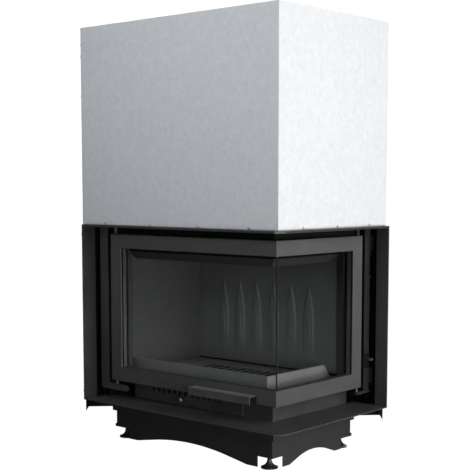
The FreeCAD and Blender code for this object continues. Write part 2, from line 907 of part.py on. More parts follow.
def frustum(lefts, backs, ups, top_half):
    """A four-sided hood that narrows to a square of the given half width under the flue."""
    lower = [spot(left, back, ups[0]) for left, back in plan_corners(lefts, backs)]
    upper_lefts = (flue_left - top_half, flue_left + top_half)
    upper_backs = (flue_back - top_half, flue_back + top_half)
    upper = [spot(left, back, ups[1]) for left, back in plan_corners(upper_lefts, upper_backs)]
    wires = [Part.makePolygon(points + points[:1]) for points in (lower, upper)]
    return Part.makeLoft(wires, True, True)


def plan_corners(lefts, backs):
    """The corners of a rectangle in plan, in order round it."""
    return [(lefts[0], backs[0]), (lefts[1], backs[0]), (lefts[1], backs[1]), (lefts[0], backs[1])]


def make_flue():
    lefts = (flue_left - dome_width / 2, flue_left + dome_width / 2)
    backs = (flue_back - dome_depth / 2, flue_back + dome_depth / 2)
    roof_top = roof_low + firebox_wall
    outer_half = flue_radius + flue_flange
    outer = frustum(lefts, backs, (roof_top, dome_top), outer_half)
    inner_lefts = (lefts[0] + dome_sheet, lefts[1] - dome_sheet)
    inner_backs = (backs[0] + dome_sheet, backs[1] - dome_sheet)
    inner = frustum(inner_lefts, inner_backs, (roof_top, dome_top - dome_sheet), outer_half - dome_sheet)
    throat = Part.makeCylinder(flue_radius - flue_stop, dome_height, spot(flue_left, flue_back, roof_top + overrun))
    save("smoke_dome", outer.cut(inner).cut(throat))

    foot = spot(flue_left, flue_back, dome_top)
    length = casing_top + flue_stand - dome_top
    pipe = Part.makeCylinder(flue_radius + flue_sheet, length, foot)
    flange = Part.makeCylinder(flue_radius + flue_flange, flue_flange_plate, foot)
    bore = Part.makeCylinder(flue_radius, length, foot)
    save("flue_outlet", fused([pipe, flange]).cut(bore))


def make_door():
    levels = (door_low, door_top)
    solid = band((door_inset, door_rear), levels, door_left, door_back)
    view = band((door_inset - overrun, door_rear + overrun), (pane_low, pane_top), pane_left, pane_back)
    rebate = band((glass_inset, door_rear + overrun), (rebate_low, rebate_top), rebate_left, rebate_back)
    save("door_frame", solid.cut(view).cut(rebate))

    backing = band((gasket_rear, door_rear), (rebate_low, rebate_top), rebate_left, rebate_back)
    save("door_inner_frame", backing.cut(view))
    save("glass_gasket", band((glass_rear, gasket_rear), (rebate_low, rebate_top), rebate_left, rebate_back).cut(view))

    glass_levels = (rebate_low + glass_play, rebate_top - glass_play)
    front_lefts = (glass_inset, rebate_left - glass_play)
    save("glass_front", block(front_lefts, (glass_inset, glass_rear), glass_levels))
    side_backs = (glass_rear + seal_width, rebate_back - glass_play)
    save("glass_side", block((glass_inset, glass_rear), side_backs, glass_levels))
    save("corner_seal", block((glass_inset, glass_rear), (glass_rear, glass_rear + seal_width), glass_levels))

    clips = []
    clip_backs = (door_rear, door_rear + clip_plate)
    for up in (rebate_low, rebate_top - clip_height):
        clip_levels = (up, up + clip_height)
        for share in front_clip_shares:
            middle = door_rear + (pane_left - door_rear) * share
            lefts = (middle - clip_length / 2, middle + clip_length / 2)
            clips.append(block(lefts, clip_backs, clip_levels))
        for share in side_clip_shares:
            middle = door_rear + (pane_back - door_rear) * share
            backs = (middle - clip_length / 2, middle + clip_length / 2)
            clips.append(block(clip_backs, backs, clip_levels))
    save("glass_clips", *clips)

    handle_lefts = (handle_right, handle_right + handle_length)
    handle_top = door_low + handle_rise
    handle_front = door_inset - handle_reach
    top_plate = block(handle_lefts, (handle_front, door_inset), (handle_top - handle_plate, handle_top))
    front_plate = block(handle_lefts, (handle_front, handle_front + handle_plate), (handle_top - handle_drop, handle_top))
    save("door_handle", fused([top_plate, front_plate]))


def make_carriages():
    backs = (carriage_back, carriage_rear)
    pin_left = door_left - hinge_pin_inset
    left_carriage = fused(
        [
            block((strip_right, strip_left), backs, (arm_low, carriage_top)),
            block((strip_left - arm_reach, strip_left), backs, (arm_low, arm_top)),
            block((strip_left - top_arm_reach, strip_left), backs, (top_arm_low, carriage_top)),
            rod_along(
                spot(pin_left, carriage_line, arm_top), spot(pin_left, carriage_line, door_low), hinge_pin_radius
            ),
            rod_along(
                spot(pin_left, carriage_line, door_top), spot(pin_left, carriage_line, top_arm_low), hinge_pin_radius
            ),
            rod_along(
                spot(strip_left - arm_reach, carriage_back, (arm_low + arm_top) / 2),
                spot(strip_left - arm_reach, carriage_rear, (arm_low + arm_top) / 2),
                arm_height / 2,
            ),
        ]
    )
    save("carriage_left", left_carriage)

    arm_lefts = (side_line - side_arm_width / 2, side_line + side_arm_width / 2)
    pin_back = door_back - hinge_pin_inset
    arm_backs = (pin_back - side_arm_width / 2, side_strip_back)
    pin_line = door_inset + door_depth / 2
    side_arm_low = arm_top - side_arm_height
    pieces = [
        block(side_strip_lefts, (side_strip_front, side_strip_back), (side_arm_low, carriage_top)),
        block(arm_lefts, arm_backs, (side_arm_low, arm_top)),
        block(arm_lefts, arm_backs, (top_arm_low, carriage_top)),
        rod_along(spot(pin_line, pin_back, arm_top), spot(pin_line, pin_back, door_low), hinge_pin_radius),
        rod_along(spot(pin_line, pin_back, door_top), spot(pin_line, pin_back, top_arm_low), hinge_pin_radius),
    ]
    bolt_back = side_strip_back - side_bolt_edge
    for share in side_bolt_shares:
        up = shelf_height + frame_height * share
        head = spot(side_strip_lefts[0] - side_bolt_length, bolt_back, up)
        pieces.append(rod_along(spot(side_line, bolt_back, up), head, side_bolt_radius))
    save("carriage_right", fused(pieces))

    shoes = []
    for share in shoe_shares:
        shoe_low = shelf_height + frame_height * share
        shoe_levels = (shoe_low, shoe_low + shoe_height)
        lefts = (rail_left_centre - shoe_width / 2, rail_left_centre + shoe_width / 2)
        shoes.append(block(lefts, (carriage_rear, carriage_rear + shoe_depth), shoe_levels))
        back_lefts = (side_line - shoe_width / 2, side_line + shoe_width / 2)
        back_end = casing_back - casing_sheet - sheet - rail_wall - slide_clearance
        shoes.append(block(back_lefts, (side_strip_back, back_end), shoe_levels))
    save("guide_shoes", *shoes)


def make_rails():
    half = shoe_width / 2 + slide_clearance
    rear = carriage_rear + shoe_depth + slide_clearance
    front = rear + rail_wall - rail_depth
    left_rail = block(
        (rail_left_centre - half - rail_wall, rail_left_centre + half + rail_wall),
        (front, rear + rail_wall),
        (shelf_height, rail_top),
    )
    groove = block(
        (rail_left_centre - half, rail_left_centre + half),
        (front - overrun, rear),
        (shelf_height - overrun, rail_top + overrun),
    )
    plate_backs = (rear + rail_wall, rear + rail_wall + sheet)
    outer_left = casing_left - casing_sheet
    plate_low = base_high - brace_height
    post_rear = casing_front_inset + casing_sheet + post_leg
    pieces = [
        left_rail.cut(groove),
        block((firebox_left, outer_left), plate_backs, (shelf_height, frame_top)),
        block((firebox_left - low_plate_width, firebox_left), plate_backs, (shelf_height, hearth_low)),
        block((frame_width, outer_left), plate_backs, (plate_low, frame_top)),
        block((outer_left - sheet, outer_left), (post_rear, plate_backs[1]), (plate_low, frame_top)),
    ]
    save("guide_rail_left", fused(pieces))

    back_rear = casing_back - casing_sheet - sheet
    back_front = back_rear - back_rail_depth
    back_rail = block(
        (side_line - half - rail_wall, side_line + half + rail_wall), (back_front, back_rear), (shelf_height, rail_top)
    )
    back_groove = block(
        (side_line - half, side_line + half),
        (back_front - overrun, back_rear - rail_wall),
        (shelf_height - overrun, rail_top + overrun),
    )
    post_left = casing_right_inset + casing_sheet + post_leg
    plate = block((post_left, back_plate_left), (back_rear, back_rear + sheet), (plate_low, frame_top))
    save("guide_rail_back", fused([back_rail.cut(back_groove), plate]))


def make_latch():
    lefts = (side_line - latch_width / 2, side_line + latch_width / 2)
    backs = (door_back + latch_gap, door_back + latch_gap + latch_depth)
    levels = (latch_low, latch_low + latch_height)
    knob_back = backs[0] + latch_knob_back
    knob_up = latch_low + latch_knob_lift
    body = block(lefts, backs, levels)
    strip_slot = block(
        side_strip_lefts, (side_strip_front, side_strip_back), (levels[0] - overrun, levels[1] + overrun)
    )
    seat = lefts[0] + latch_spindle_seat
    spindle_hole = rod_along(
        spot(lefts[0] - overrun, knob_back, knob_up),
        spot(seat + slide_clearance, knob_back, knob_up),
        latch_spindle_radius + running_clearance,
    )
    save("latch_block", body.cut(strip_slot).cut(spindle_hole))

    neck_end = lefts[0] - latch_neck
    knob_end = neck_end - latch_knob_length
    spindle = rod_along(spot(seat, knob_back, knob_up), spot(neck_end, knob_back, knob_up), latch_spindle_radius)
    boss = rod_along(spot(neck_end, knob_back, knob_up), spot(knob_end, knob_back, knob_up), latch_knob_radius)
    wing = block(
        (knob_end, neck_end),
        (knob_back - latch_wing_half, knob_back + latch_wing_half),
        (knob_up - latch_wing_thick / 2, knob_up + latch_wing_thick / 2),
    )
    save("latch_knob", fused([spindle, boss, wing]))


def pulley_shape(centre, axis, radial):
    """A grooved pulley turned about an axis, with its bore running on the axle."""
    groove = pulley_path_radius - cable_radius - slide_clearance
    rim = pulley_path_radius + pulley_flange
    bore = axle_radius + running_clearance
    outline = [
        (bore, -pulley_half_width),
        (rim, -pulley_half_width),
        (rim, -groove_half_width - groove_lip),
        (groove, -groove_half_width),
        (groove, groove_half_width),
        (rim, groove_half_width + groove_lip),
        (rim, pulley_half_width),
        (bore, pulley_half_width),
    ]
    points = [centre + radial * radius + axis * along for radius, along in outline]
    return Part.Face(Part.makePolygon(points + points[:1])).revolve(centre, axis, 360)


def pulley_bracket(centre, axis, radial):
    """Two hanger plates with a foot under the casing lid and the axle between them."""
    ceiling = casing_top - casing_sheet
    inner = pulley_half_width + bracket_side_gap
    outer = inner + bracket_sheet

    def hanger(first, second, low, high):
        corners = [
            centre + axis * first - radial * (bracket_width / 2),
            centre + axis * second - radial * (bracket_width / 2),
            centre + axis * second + radial * (bracket_width / 2),
            centre + axis * first + radial * (bracket_width / 2),
        ]
        level = Vector(0, 0, low - centre.z)
        return extruded([corner + level for corner in corners], Vector(0, 0, high - low))

    axle = rod_along(centre - axis * outer, centre + axis * outer, axle_radius)
    low = centre.z - bracket_tail
    return fused(
        [
            hanger(-outer, -inner, low, ceiling),
            hanger(inner, outer, low, ceiling),
            hanger(-outer, outer, ceiling - bracket_sheet, ceiling),
            axle,
        ]
    )


def cable_wrap(centre, axis, radial):
    """The half turn of cable over the top of a pulley."""
    start = centre - radial * pulley_path_radius
    ring = Part.Face(Part.Wire(Part.makeCircle(cable_radius, start, Vector(0, 0, 1))))
    return ring.revolve(centre, axis, 180)


def make_lift():
    across = Vector(1, 0, 0)
    along = Vector(0, 1, 0)
    left_line = carriage_line
    left_centre = spot(rail_left_centre, left_line + pulley_path_radius, pulley_height)
    back_centre = spot(side_line + pulley_path_radius, side_cable_back, pulley_height)
    save("pulley_left", pulley_shape(left_centre, across, along))
    save("pulley_back", pulley_shape(back_centre, along, across))
    save("pulley_brackets", pulley_bracket(left_centre, across, along), pulley_bracket(back_centre, along, across))
    left_wrap = cable_wrap(left_centre, -across, along)
    back_wrap = cable_wrap(back_centre, along, across)
    save("cable_wraps", left_wrap, back_wrap)

    left_weight_back = left_line + 2 * pulley_path_radius
    back_weight_left = side_line + 2 * pulley_path_radius
    door_runs = [
        rod_along(spot(left, back, carriage_top), spot(left, back, pulley_height), cable_radius)
        for left, back in ((rail_left_centre, left_line), (side_line, side_cable_back))
    ]
    save("door_cables", *door_runs)
    weight_spots = {"left": (rail_left_centre, left_weight_back), "back": (back_weight_left, side_cable_back)}
    for name, (left, back) in weight_spots.items():
        run = rod_along(spot(left, back, weight_top), spot(left, back, pulley_height), cable_radius)
        save("weight_cable_%s" % name, run)

    weight_levels = (weight_low, weight_top)
    half = left_weight_length / 2
    save(
        "counterweight_left",
        block(
            (rail_left_centre - left_weight_half, rail_left_centre + left_weight_half),
            (left_weight_back - half, left_weight_back + half),
            weight_levels,
        ),
    )
    half = back_weight_length / 2
    save(
        "counterweight_back",
        block(
            (back_weight_left - half, back_weight_left + half),
            (side_cable_back - back_weight_half, side_cable_back + back_weight_half),
            weight_levels,
        ),
    )


make_frame()
make_posts()
make_casing()
make_plinth()
make_feet()
make_air_control()
make_firebox()
make_surround()
make_flue()
make_door()
make_carriages()
make_rails()
make_latch()
make_lift()
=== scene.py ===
import math
import bpy
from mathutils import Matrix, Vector


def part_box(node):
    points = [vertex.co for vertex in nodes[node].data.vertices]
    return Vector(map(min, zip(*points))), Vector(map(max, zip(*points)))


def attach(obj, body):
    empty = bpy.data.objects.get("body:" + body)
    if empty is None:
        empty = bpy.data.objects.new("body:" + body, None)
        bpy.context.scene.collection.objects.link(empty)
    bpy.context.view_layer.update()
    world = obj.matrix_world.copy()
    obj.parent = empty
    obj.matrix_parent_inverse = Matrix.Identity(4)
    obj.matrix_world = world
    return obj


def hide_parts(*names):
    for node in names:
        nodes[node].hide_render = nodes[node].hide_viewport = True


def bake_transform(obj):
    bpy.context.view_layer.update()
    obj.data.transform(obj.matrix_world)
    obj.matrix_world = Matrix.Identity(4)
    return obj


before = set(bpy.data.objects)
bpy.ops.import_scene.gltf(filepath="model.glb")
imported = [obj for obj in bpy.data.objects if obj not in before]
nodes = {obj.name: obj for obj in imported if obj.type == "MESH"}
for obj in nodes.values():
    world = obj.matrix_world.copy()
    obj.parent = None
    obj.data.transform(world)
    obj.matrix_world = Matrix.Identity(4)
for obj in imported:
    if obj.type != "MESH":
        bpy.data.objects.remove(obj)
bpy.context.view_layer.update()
scene = bpy.context.scene
up = Vector((0.0, 0.0, 1.0))
lintel_low, lintel_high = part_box("lintel")


# Shader helpers
class Shader:
    """A material and short ways to add nodes to it."""

    def __init__(self, name):
        self.material = bpy.data.materials.new(name)
        self.material.use_nodes = True
        self.tree = self.material.node_tree
        self.bsdf = self.tree.nodes["Principled BSDF"]
        self.where = self.node("ShaderNodeTexCoord").outputs["Object"]

    def node(self, kind, **settings):
        made = self.tree.nodes.new(kind)
        for key, value in settings.items():
            setattr(made, key, value)
        return made

    def link(self, source, target):
        self.tree.links.new(source, target)

    def set(self, **values):
        for key, value in values.items():
            self.bsdf.inputs[key.replace("_", " ")].default_value = value

    def stretched(self, scales):
        mapping = self.node("ShaderNodeMapping")
        mapping.inputs["Scale"].default_value = scales
        self.link(self.where, mapping.inputs["Vector"])
        return mapping.outputs["Vector"]

    def noise(self, scale, detail=4.0, rough=0.55, vector=None, output="Fac"):
        made = self.node("ShaderNodeTexNoise")
        made.inputs["Scale"].default_value = scale
        made.inputs["Detail"].default_value = detail
        made.inputs["Roughness"].default_value = rough
        self.link(vector or self.where, made.inputs["Vector"])
        return made.outputs[output]

    def cells(self, scale, vector):
        made = self.node("ShaderNodeTexVoronoi")
        made.inputs["Scale"].default_value = scale
        self.link(vector, made.inputs["Vector"])
        return made.outputs["Color"]

    def along(self, vector, direction):
        """How far a vector reaches along a direction."""
        made = self.node("ShaderNodeVectorMath", operation="DOT_PRODUCT")
        made.inputs[1].default_value = direction
        self.link(vector, made.inputs[0])
        return made.outputs["Value"]

    def facing(self, direction):
        """How far a face is turned toward a direction."""
        return self.along(self.node("ShaderNodeNewGeometry").outputs["True Normal"], direction)

    def mixed(self, first, second, share):
        made = self.node("ShaderNodeMix", data_type="FLOAT")
        made.inputs[0].default_value = share
        self.link(first, made.inputs[2])
        self.link(second, made.inputs[3])
        return made.outputs[0]

    def ranged(self, source, start, end, low=0.0, high=1.0):
        made = self.node("ShaderNodeMapRange")
        made.inputs["From Min"].default_value = start
        made.inputs["From Max"].default_value = end
        made.inputs["To Min"].default_value = low
        made.inputs["To Max"].default_value = high
        self.link(source, made.inputs["Value"])
        return made.outputs["Result"]

    def spread(self, source, socket, low, high, start=0.3, end=0.7):
        self.link(self.ranged(source, start, end, low, high), self.bsdf.inputs[socket])

    def ramp(self, source, stops):
        made = self.node("ShaderNodeValToRGB")
        elements = made.color_ramp.elements
        while len(elements) < len(stops):
            elements.new(0.5)
        for element, (position, colour) in zip(elements, stops):
            element.position = position
            element.color = (*colour, 1.0)
        self.link(source, made.inputs["Fac"])
        self.link(made.outputs["Color"], self.bsdf.inputs["Base Color"])

    def bump(self, source, depth, strength=0.5):
        made = self.node("ShaderNodeBump")
        made.inputs["Strength"].default_value = strength
        made.inputs["Distance"].default_value = depth
        self.link(source, made.inputs["Height"])
        self.link(made.outputs["Normal"], self.bsdf.inputs["Normal"])

    def layered(self, first, second):
        """Mixes two shaders into the surface and returns the socket for the second one's share."""
        made = self.node("ShaderNodeMixShader")
        self.link(first, made.inputs[1])
        self.link(second, made.inputs[2])
        self.link(made.outputs["Shader"], self.tree.nodes["Material Output"].inputs["Surface"])
        return made.inputs["Fac"]


def grey(value, tint=(1.0, 1.0, 1.0)):
    return tuple(value * part for part in tint)


# Materials
def paint(name, dark, light, rough, grain):
    """Satin heat-proof paint: uneven tone, fine orange peel and a soft sheen."""
    shader = Shader(name)
    shader.ramp(shader.noise(scale=9.0, detail=3.0), [(0.3, grey(dark)), (0.7, grey(light))])
    shader.spread(shader.noise(scale=34.0, detail=5.0), "Roughness", rough - 0.06, rough + 0.08)
    shader.bump(shader.noise(scale=grain, detail=2.0), depth=0.0004, strength=0.25)
    return shader.material


def painted_light_by_facing(name, away, toward, direction, specular):
    """Black paint with one tone on the faces turned toward a direction and a darker one on the rest: light
    and shade painted by the way each face turns.
    """
    shader = Shader(name)
    shader.set(Specular_IOR_Level=specular)
    turned = shader.ranged(shader.facing(direction), start=0.2, end=0.5)
    tone = shader.mixed(shader.noise(scale=9.0, detail=3.0), turned, share=0.85)
    shader.ramp(tone, [(0.03, grey(away * 0.7)), (0.12, grey(away * 1.3)),
                       (0.88, grey(toward * 0.85)), (0.97, grey(toward * 1.15))])
    shader.spread(shader.noise(scale=34.0, detail=5.0), "Roughness", 0.62, 0.78)
    shader.bump(shader.noise(scale=500.0, detail=2.0), depth=0.0004, strength=0.25)
    return shader.material


def casting(name, dark, light, rough, depth):
    """Cast or pressed surface: mottled tone and a sandy grain."""
    shader = Shader(name)
    mottle = shader.noise(scale=26.0, detail=6.0, rough=0.65)
    warm_tint = (1.0, 0.985, 0.97)
    shader.ramp(mottle, [(0.28, grey(dark)), (0.72, grey(light, warm_tint))])
    shader.spread(shader.noise(scale=60.0, detail=4.0), "Roughness", rough - 0.1, rough + 0.1)
    fine, coarse = shader.noise(scale=420.0, detail=3.0), shader.noise(scale=90.0, detail=3.0)
    shader.bump(shader.mixed(fine, coarse, share=0.4), depth)
    return shader.material


def shaded_above(name, dark, light, line, blur):
    """Casting whose tone drops to near black above a height: painted shade."""
    shader = Shader(name)
    shader.set(Specular_IOR_Level=0.15)
    above = shader.ranged(shader.along(shader.where, up), line - blur, line + blur)
    tone = shader.mixed(shader.noise(scale=26.0, detail=6.0, rough=0.65), above, share=0.8)
    shader.ramp(tone, [(0.05, grey(dark)), (0.15, grey(light)), (0.8, grey(0.003)), (0.95, grey(0.005))])
    shader.spread(tone, "Roughness", 0.6, 0.9, start=0.1, end=0.9)
    return shader.material


def slotted(name, dark, light):
    """Cast grate with plain bars and near-black slot walls: painted shade in the slots."""
    shader = Shader(name)
    shader.set(Specular_IOR_Level=0.2)
    # Faces not turned up go near black: painted shade.
    tone = shader.mixed(shader.noise(scale=40.0, detail=5.0, rough=0.6), shader.facing(up), share=0.85)
    shader.ramp(tone, [(0.1, grey(0.002)), (0.5, grey(0.004)), (0.88, grey(dark)), (0.97, grey(light))])
    shader.spread(tone, "Roughness", 0.9, 0.6, start=0.2, end=0.95)
    return shader.material


def metal(name, dark, light, rough, scales):
    """Plain or brushed steel with fine drawn lines along one direction."""
    shader = Shader(name)
    shader.set(Metallic=1.0)
    lines = shader.noise(scale=1.0, detail=4.0, rough=0.6, vector=shader.stretched(scales))
    tone = shader.mixed(lines, shader.noise(scale=22.0, detail=3.0), share=0.5)
    shader.ramp(tone, [(0.3, grey(dark)), (0.7, grey(light))])
    shader.spread(lines, "Roughness", rough - 0.08, rough + 0.1)
    shader.bump(lines, depth=0.0002, strength=0.2)
    return shader.material


def galvanised(name, dull, middle, pale):
    """Zinc-coated sheet: pale crystals under a cloudy film."""
    shader = Shader(name)
    shader.set(Metallic=0.08, Specular_IOR_Level=0.25)
    warp = shader.node("ShaderNodeVectorMath", operation="MULTIPLY_ADD")
    warp.inputs[1].default_value = grey(0.03)
    shader.link(shader.noise(scale=24.0, detail=5.0, rough=0.5, output="Color"), warp.inputs[0])
    shader.link(shader.where, warp.inputs[2])
    spangle = shader.node("ShaderNodeRGBToBW")
    shader.link(shader.cells(110.0, warp.outputs["Vector"]), spangle.inputs["Color"])
    crystals = spangle.outputs["Val"]
    tone = shader.mixed(shader.noise(scale=48.0, detail=9.0, rough=0.72), crystals, share=0.3)
    shader.ramp(tone, [(0.3, dull), (0.5, middle), (0.72, pale)])
    shader.spread(tone, "Roughness", 0.5, 0.54)
    uneven = shader.mixed(crystals, shader.noise(scale=150.0, detail=3.0), share=0.6)
    shader.bump(uneven, depth=0.0002, strength=0.06)
    return shader.material


def woven(name, dark, light):
    """Heat-proof woven cord and moulded slider pads."""
    shader = Shader(name)
    threads = shader.noise(scale=1.0, detail=2.0, rough=0.5, vector=shader.stretched((900.0, 900.0, 500.0)))
    shader.ramp(threads, [(0.35, grey(dark)), (0.65, grey(light))])
    shader.spread(threads, "Roughness", 0.75, 0.95)
    shader.bump(threads, depth=0.0006, strength=0.6)
    return shader.material


def pane(name, tint, mirror_share):
    """Clear ceramic glass: mostly see-through, faintly smoked, with a mirror coat that varies a little."""
    shader = Shader(name)
    clear = shader.node("ShaderNodeBsdfTransparent")
    clear.inputs["Color"].default_value = (*tint, 1.0)
    gloss = shader.node("ShaderNodeBsdfGlossy")
    haze = shader.ranged(shader.noise(scale=5.0, detail=3.0), start=0.0, end=1.0, low=0.015, high=0.06)
    shader.link(haze, gloss.inputs["Roughness"])
    shader.layered(clear.outputs["BSDF"], gloss.outputs["BSDF"]).default_value = mirror_share
    return shader.material


toward_back_left = (-0.7, 0.7, 0.0)
# The surround head is painted near black above this height: painted shade where it shows in the dark gap
# under the lintel.
unshaded_head_height = 0.0235
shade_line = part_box("surround_head")[0].z + unshaded_head_height

zinc = galvanised("galvanised_sheet", (0.545, 0.563, 0.584), (0.585, 0.601, 0.621), (0.625, 0.638, 0.656))
black = paint("satin_black", dark=0.046, light=0.060, rough=0.44, grain=700.0)
# Painted shade: near black on faces turned to the front and right, where the gaps and sides beside the door
# lie in shadow; plain black paint on faces turned to the back and left.
shade_black = painted_light_by_facing("painted_shade_black", away=0.0035, toward=0.034, direction=toward_back_left, specular=0.12)
# Painted light: the handle's faces turned up are lighter than the rest.
handle_lit_top = painted_light_by_facing("handle_lit_top", away=0.060, toward=0.160, direction=up, specular=0.3)
frame_black = paint("frame_black", dark=0.028, light=0.037, rough=0.40, grain=600.0)
# A darker copy of the frame paint for the left cheek and the right carriage: painted shade.
frame_black_shaded = paint("frame_black_shaded", dark=0.016, light=0.022, rough=0.40, grain=600.0)
door_black = paint("door_black", dark=0.052, light=0.063, rough=0.46, grain=800.0)
iron = casting("cast_iron", dark=0.125, light=0.155, rough=0.58, depth=0.0006)
grate_iron = slotted("grate_iron", dark=0.125, light=0.155)
sill_iron = casting("sill_iron", dark=0.148, light=0.170, rough=0.55, depth=0.0005)
lining = casting("dark_refractory", dark=0.042, light=0.050, rough=0.62, depth=0.0008)
head_shaded = shaded_above("head_painted_shade", dark=0.052, light=0.064, line=shade_line, blur=0.002)
back_lining = casting("back_refractory", dark=0.097, light=0.110, rough=0.62, depth=0.0008)
board = casting("pressed_board", dark=0.36, light=0.50, rough=0.85, depth=0.001)
steel = metal("plain_steel", dark=0.36, light=0.52, rough=0.34, scales=(40.0, 40.0, 700.0))
knob_steel = metal("dark_knob", dark=0.30, light=0.40, rough=0.32, scales=(500.0, 500.0, 60.0))
screw_zinc = metal("zinc_screw", dark=0.60, light=0.72, rough=0.42, scales=(300.0, 300.0, 300.0))
foot_black = paint("foot_black", dark=0.014, light=0.020, rough=0.34, grain=500.0)
cord = woven("woven_seal", dark=0.004, light=0.010)
glass = pane("ceramic_glass", tint=(0.92, 0.93, 0.93), mirror_share=0.014)

casing_sheets = ["casing_front", "casing_right", "casing_left", "casing_back", "casing_lid"]
looks = {
    zinc: casing_sheets,
    frame_black_shaded: ["cheek_left", "carriage_right"],
    frame_black: ["lintel", "cheek_right", "plinth", "foot_brackets", "base_box",
                  "apron", "air_plate", "air_slider"],
    black: ["shelf", "carriage_left", "smoke_dome", "flue_outlet"],
    shade_black: ["firebox_walls", "firebox_roof", "guide_rail_left", "guide_rail_back",
           "corner_posts", "corner_braces", "latch_block", "ash_pan"],
    door_black: ["door_frame", "door_inner_frame"],
    handle_lit_top: ["door_handle"],
    iron: ["hearth_plate", "counterweight_left", "counterweight_back"],
    grate_iron: ["fire_grate"],
    sill_iron: ["log_sill"],
    lining: ["lining_left", "surround_jambs"],
    head_shaded: ["surround_head"],
    back_lining: ["lining_back"],
    board: ["baffle"],
    steel: ["latch_knob", "glass_clips", "pulley_brackets", "pulley_left", "pulley_back",
            "door_cables", "weight_cable_left", "weight_cable_back", "cable_wraps"],
    foot_black: ["levelling_foot_front_left", "levelling_foot_front_right",
                 "levelling_foot_back_left", "levelling_foot_back_right"],
    knob_steel: ["air_knob"],
    screw_zinc: ["casing_screws"],
    glass: ["glass_front", "glass_side"],
    cord: ["glass_gasket", "corner_seal", "guide_shoes"],
}
for look, names in looks.items():
    for name in names:
        for slot in nodes[name].material_slots:
            slot.material = look


# Softened edges on sheet and cast pieces
grate_edge, thin_sheet_edge, sheet_edge, bar_edge, cast_edge = 0.0005, 0.0006, 0.0007, 0.0012, 0.0018
flat_edge, round_edge = 2, 3
sharp_angle = math.radians(40)
weld_reach = 0.00001


def soften(name, width, segments):
    weld = nodes[name].modifiers.new("weld", "WELD")
    weld.merge_threshold = weld_reach
    bevel = nodes[name].modifiers.new("edge", "BEVEL")
    bevel.width = width
    bevel.segments = segments
    bevel.limit_method = "ANGLE"
    bevel.angle_limit = sharp_angle
    bevel.harden_normals = True


edges = [
    (grate_edge, flat_edge, ["fire_grate"]),
    (thin_sheet_edge, flat_edge, casing_sheets + ["apron", "carriage_right"]),
    (sheet_edge, flat_edge, ["shelf", "lintel", "cheek_left", "cheek_right", "plinth", "base_box",
                             "air_plate", "corner_posts", "carriage_left", "latch_block", "foot_brackets"]),
    (bar_edge, flat_edge, ["door_frame", "door_inner_frame", "door_handle",
                           "surround_jambs", "surround_head"]),
    (cast_edge, round_edge, ["log_sill", "hearth_plate", "lining_left",
                             "counterweight_left", "counterweight_back"]),
]
for width, segments, names in edges:
    for name in names:
        soften(name, width, segments)


# Helpers for new pieces
def piece(name, points, faces, look, smooth=True):
    mesh = bpy.data.meshes.new(name)
    mesh.from_pydata(points, [], faces)
    mesh.update()
    mesh.polygons.foreach_set("use_smooth", [smooth] * len(faces))
    made = bpy.data.objects.new(name, mesh)
    scene.collection.objects.link(made)
    mesh.materials.append(look)
    return made


def tube_faces(start, around, rings):
    """Faces between rings of points, and a cap at each end."""
    faces = []
    for ring in range(rings - 1):
        here = start + ring * around
        for step in range(around):
            after = (step + 1) % around
            faces.append((here + step, here + after, here + around + after, here + around + step))
    faces.append(tuple(range(start + around - 1, start - 1, -1)))
    faces.append(tuple(range(start + (rings - 1) * around, start + rings * around)))
    return faces


def clamped(value):
    return min(max(value, 0.0), 1.0)


def eased(value):
    """A soft step from 0 to 1."""
    share = clamped(value)
    return share * share * (3 - 2 * share)


# Back lining with rounded pointed arches
arch_count = 6
arch_pitch_share = 0.12375
arch_half = 0.02
arch_foot, arch_spring, arch_tip = 0.029, 0.120, 0.233
arch_flank, arch_depth = 0.0055, 0.0030
leaf_half_share = 0.44
leaf_spring, leaf_tip = 0.075, 0.145
leaf_flank, leaf_depth = 0.004, 0.0014
fade_height = 0.1
lean_share, tip_share = 0.12, 0.25
relief_room = 0.006
joint_depth = 0.006
joint_rows = 2


def arch_edge(x, z, middle, half, spring, tip):
    """How far a point lies inside a pointed arch."""
    rise = clamped((z - spring) / (tip - spring))
    width = half * (1.0 - lean_share * rise - (1.0 - lean_share) * rise * rise)
    return min(width - abs(x - middle), (tip - z) * tip_share)


def arch_relief(x, z, middle, foot):
    """How far the lining stands out at a point, for one arch and the leaf in it."""
    outer = arch_edge(x, z, middle, arch_half, foot + arch_spring, foot + arch_tip)
    leaf = arch_edge(x, z, middle, arch_half * leaf_half_share, foot + leaf_spring, foot + leaf_tip)
    crown = clamped(leaf / leaf_flank)
    relief = arch_depth * eased(outer / arch_flank) + leaf_depth * crown * (2 - crown)
    return eased((z - foot) / fade_height) * relief


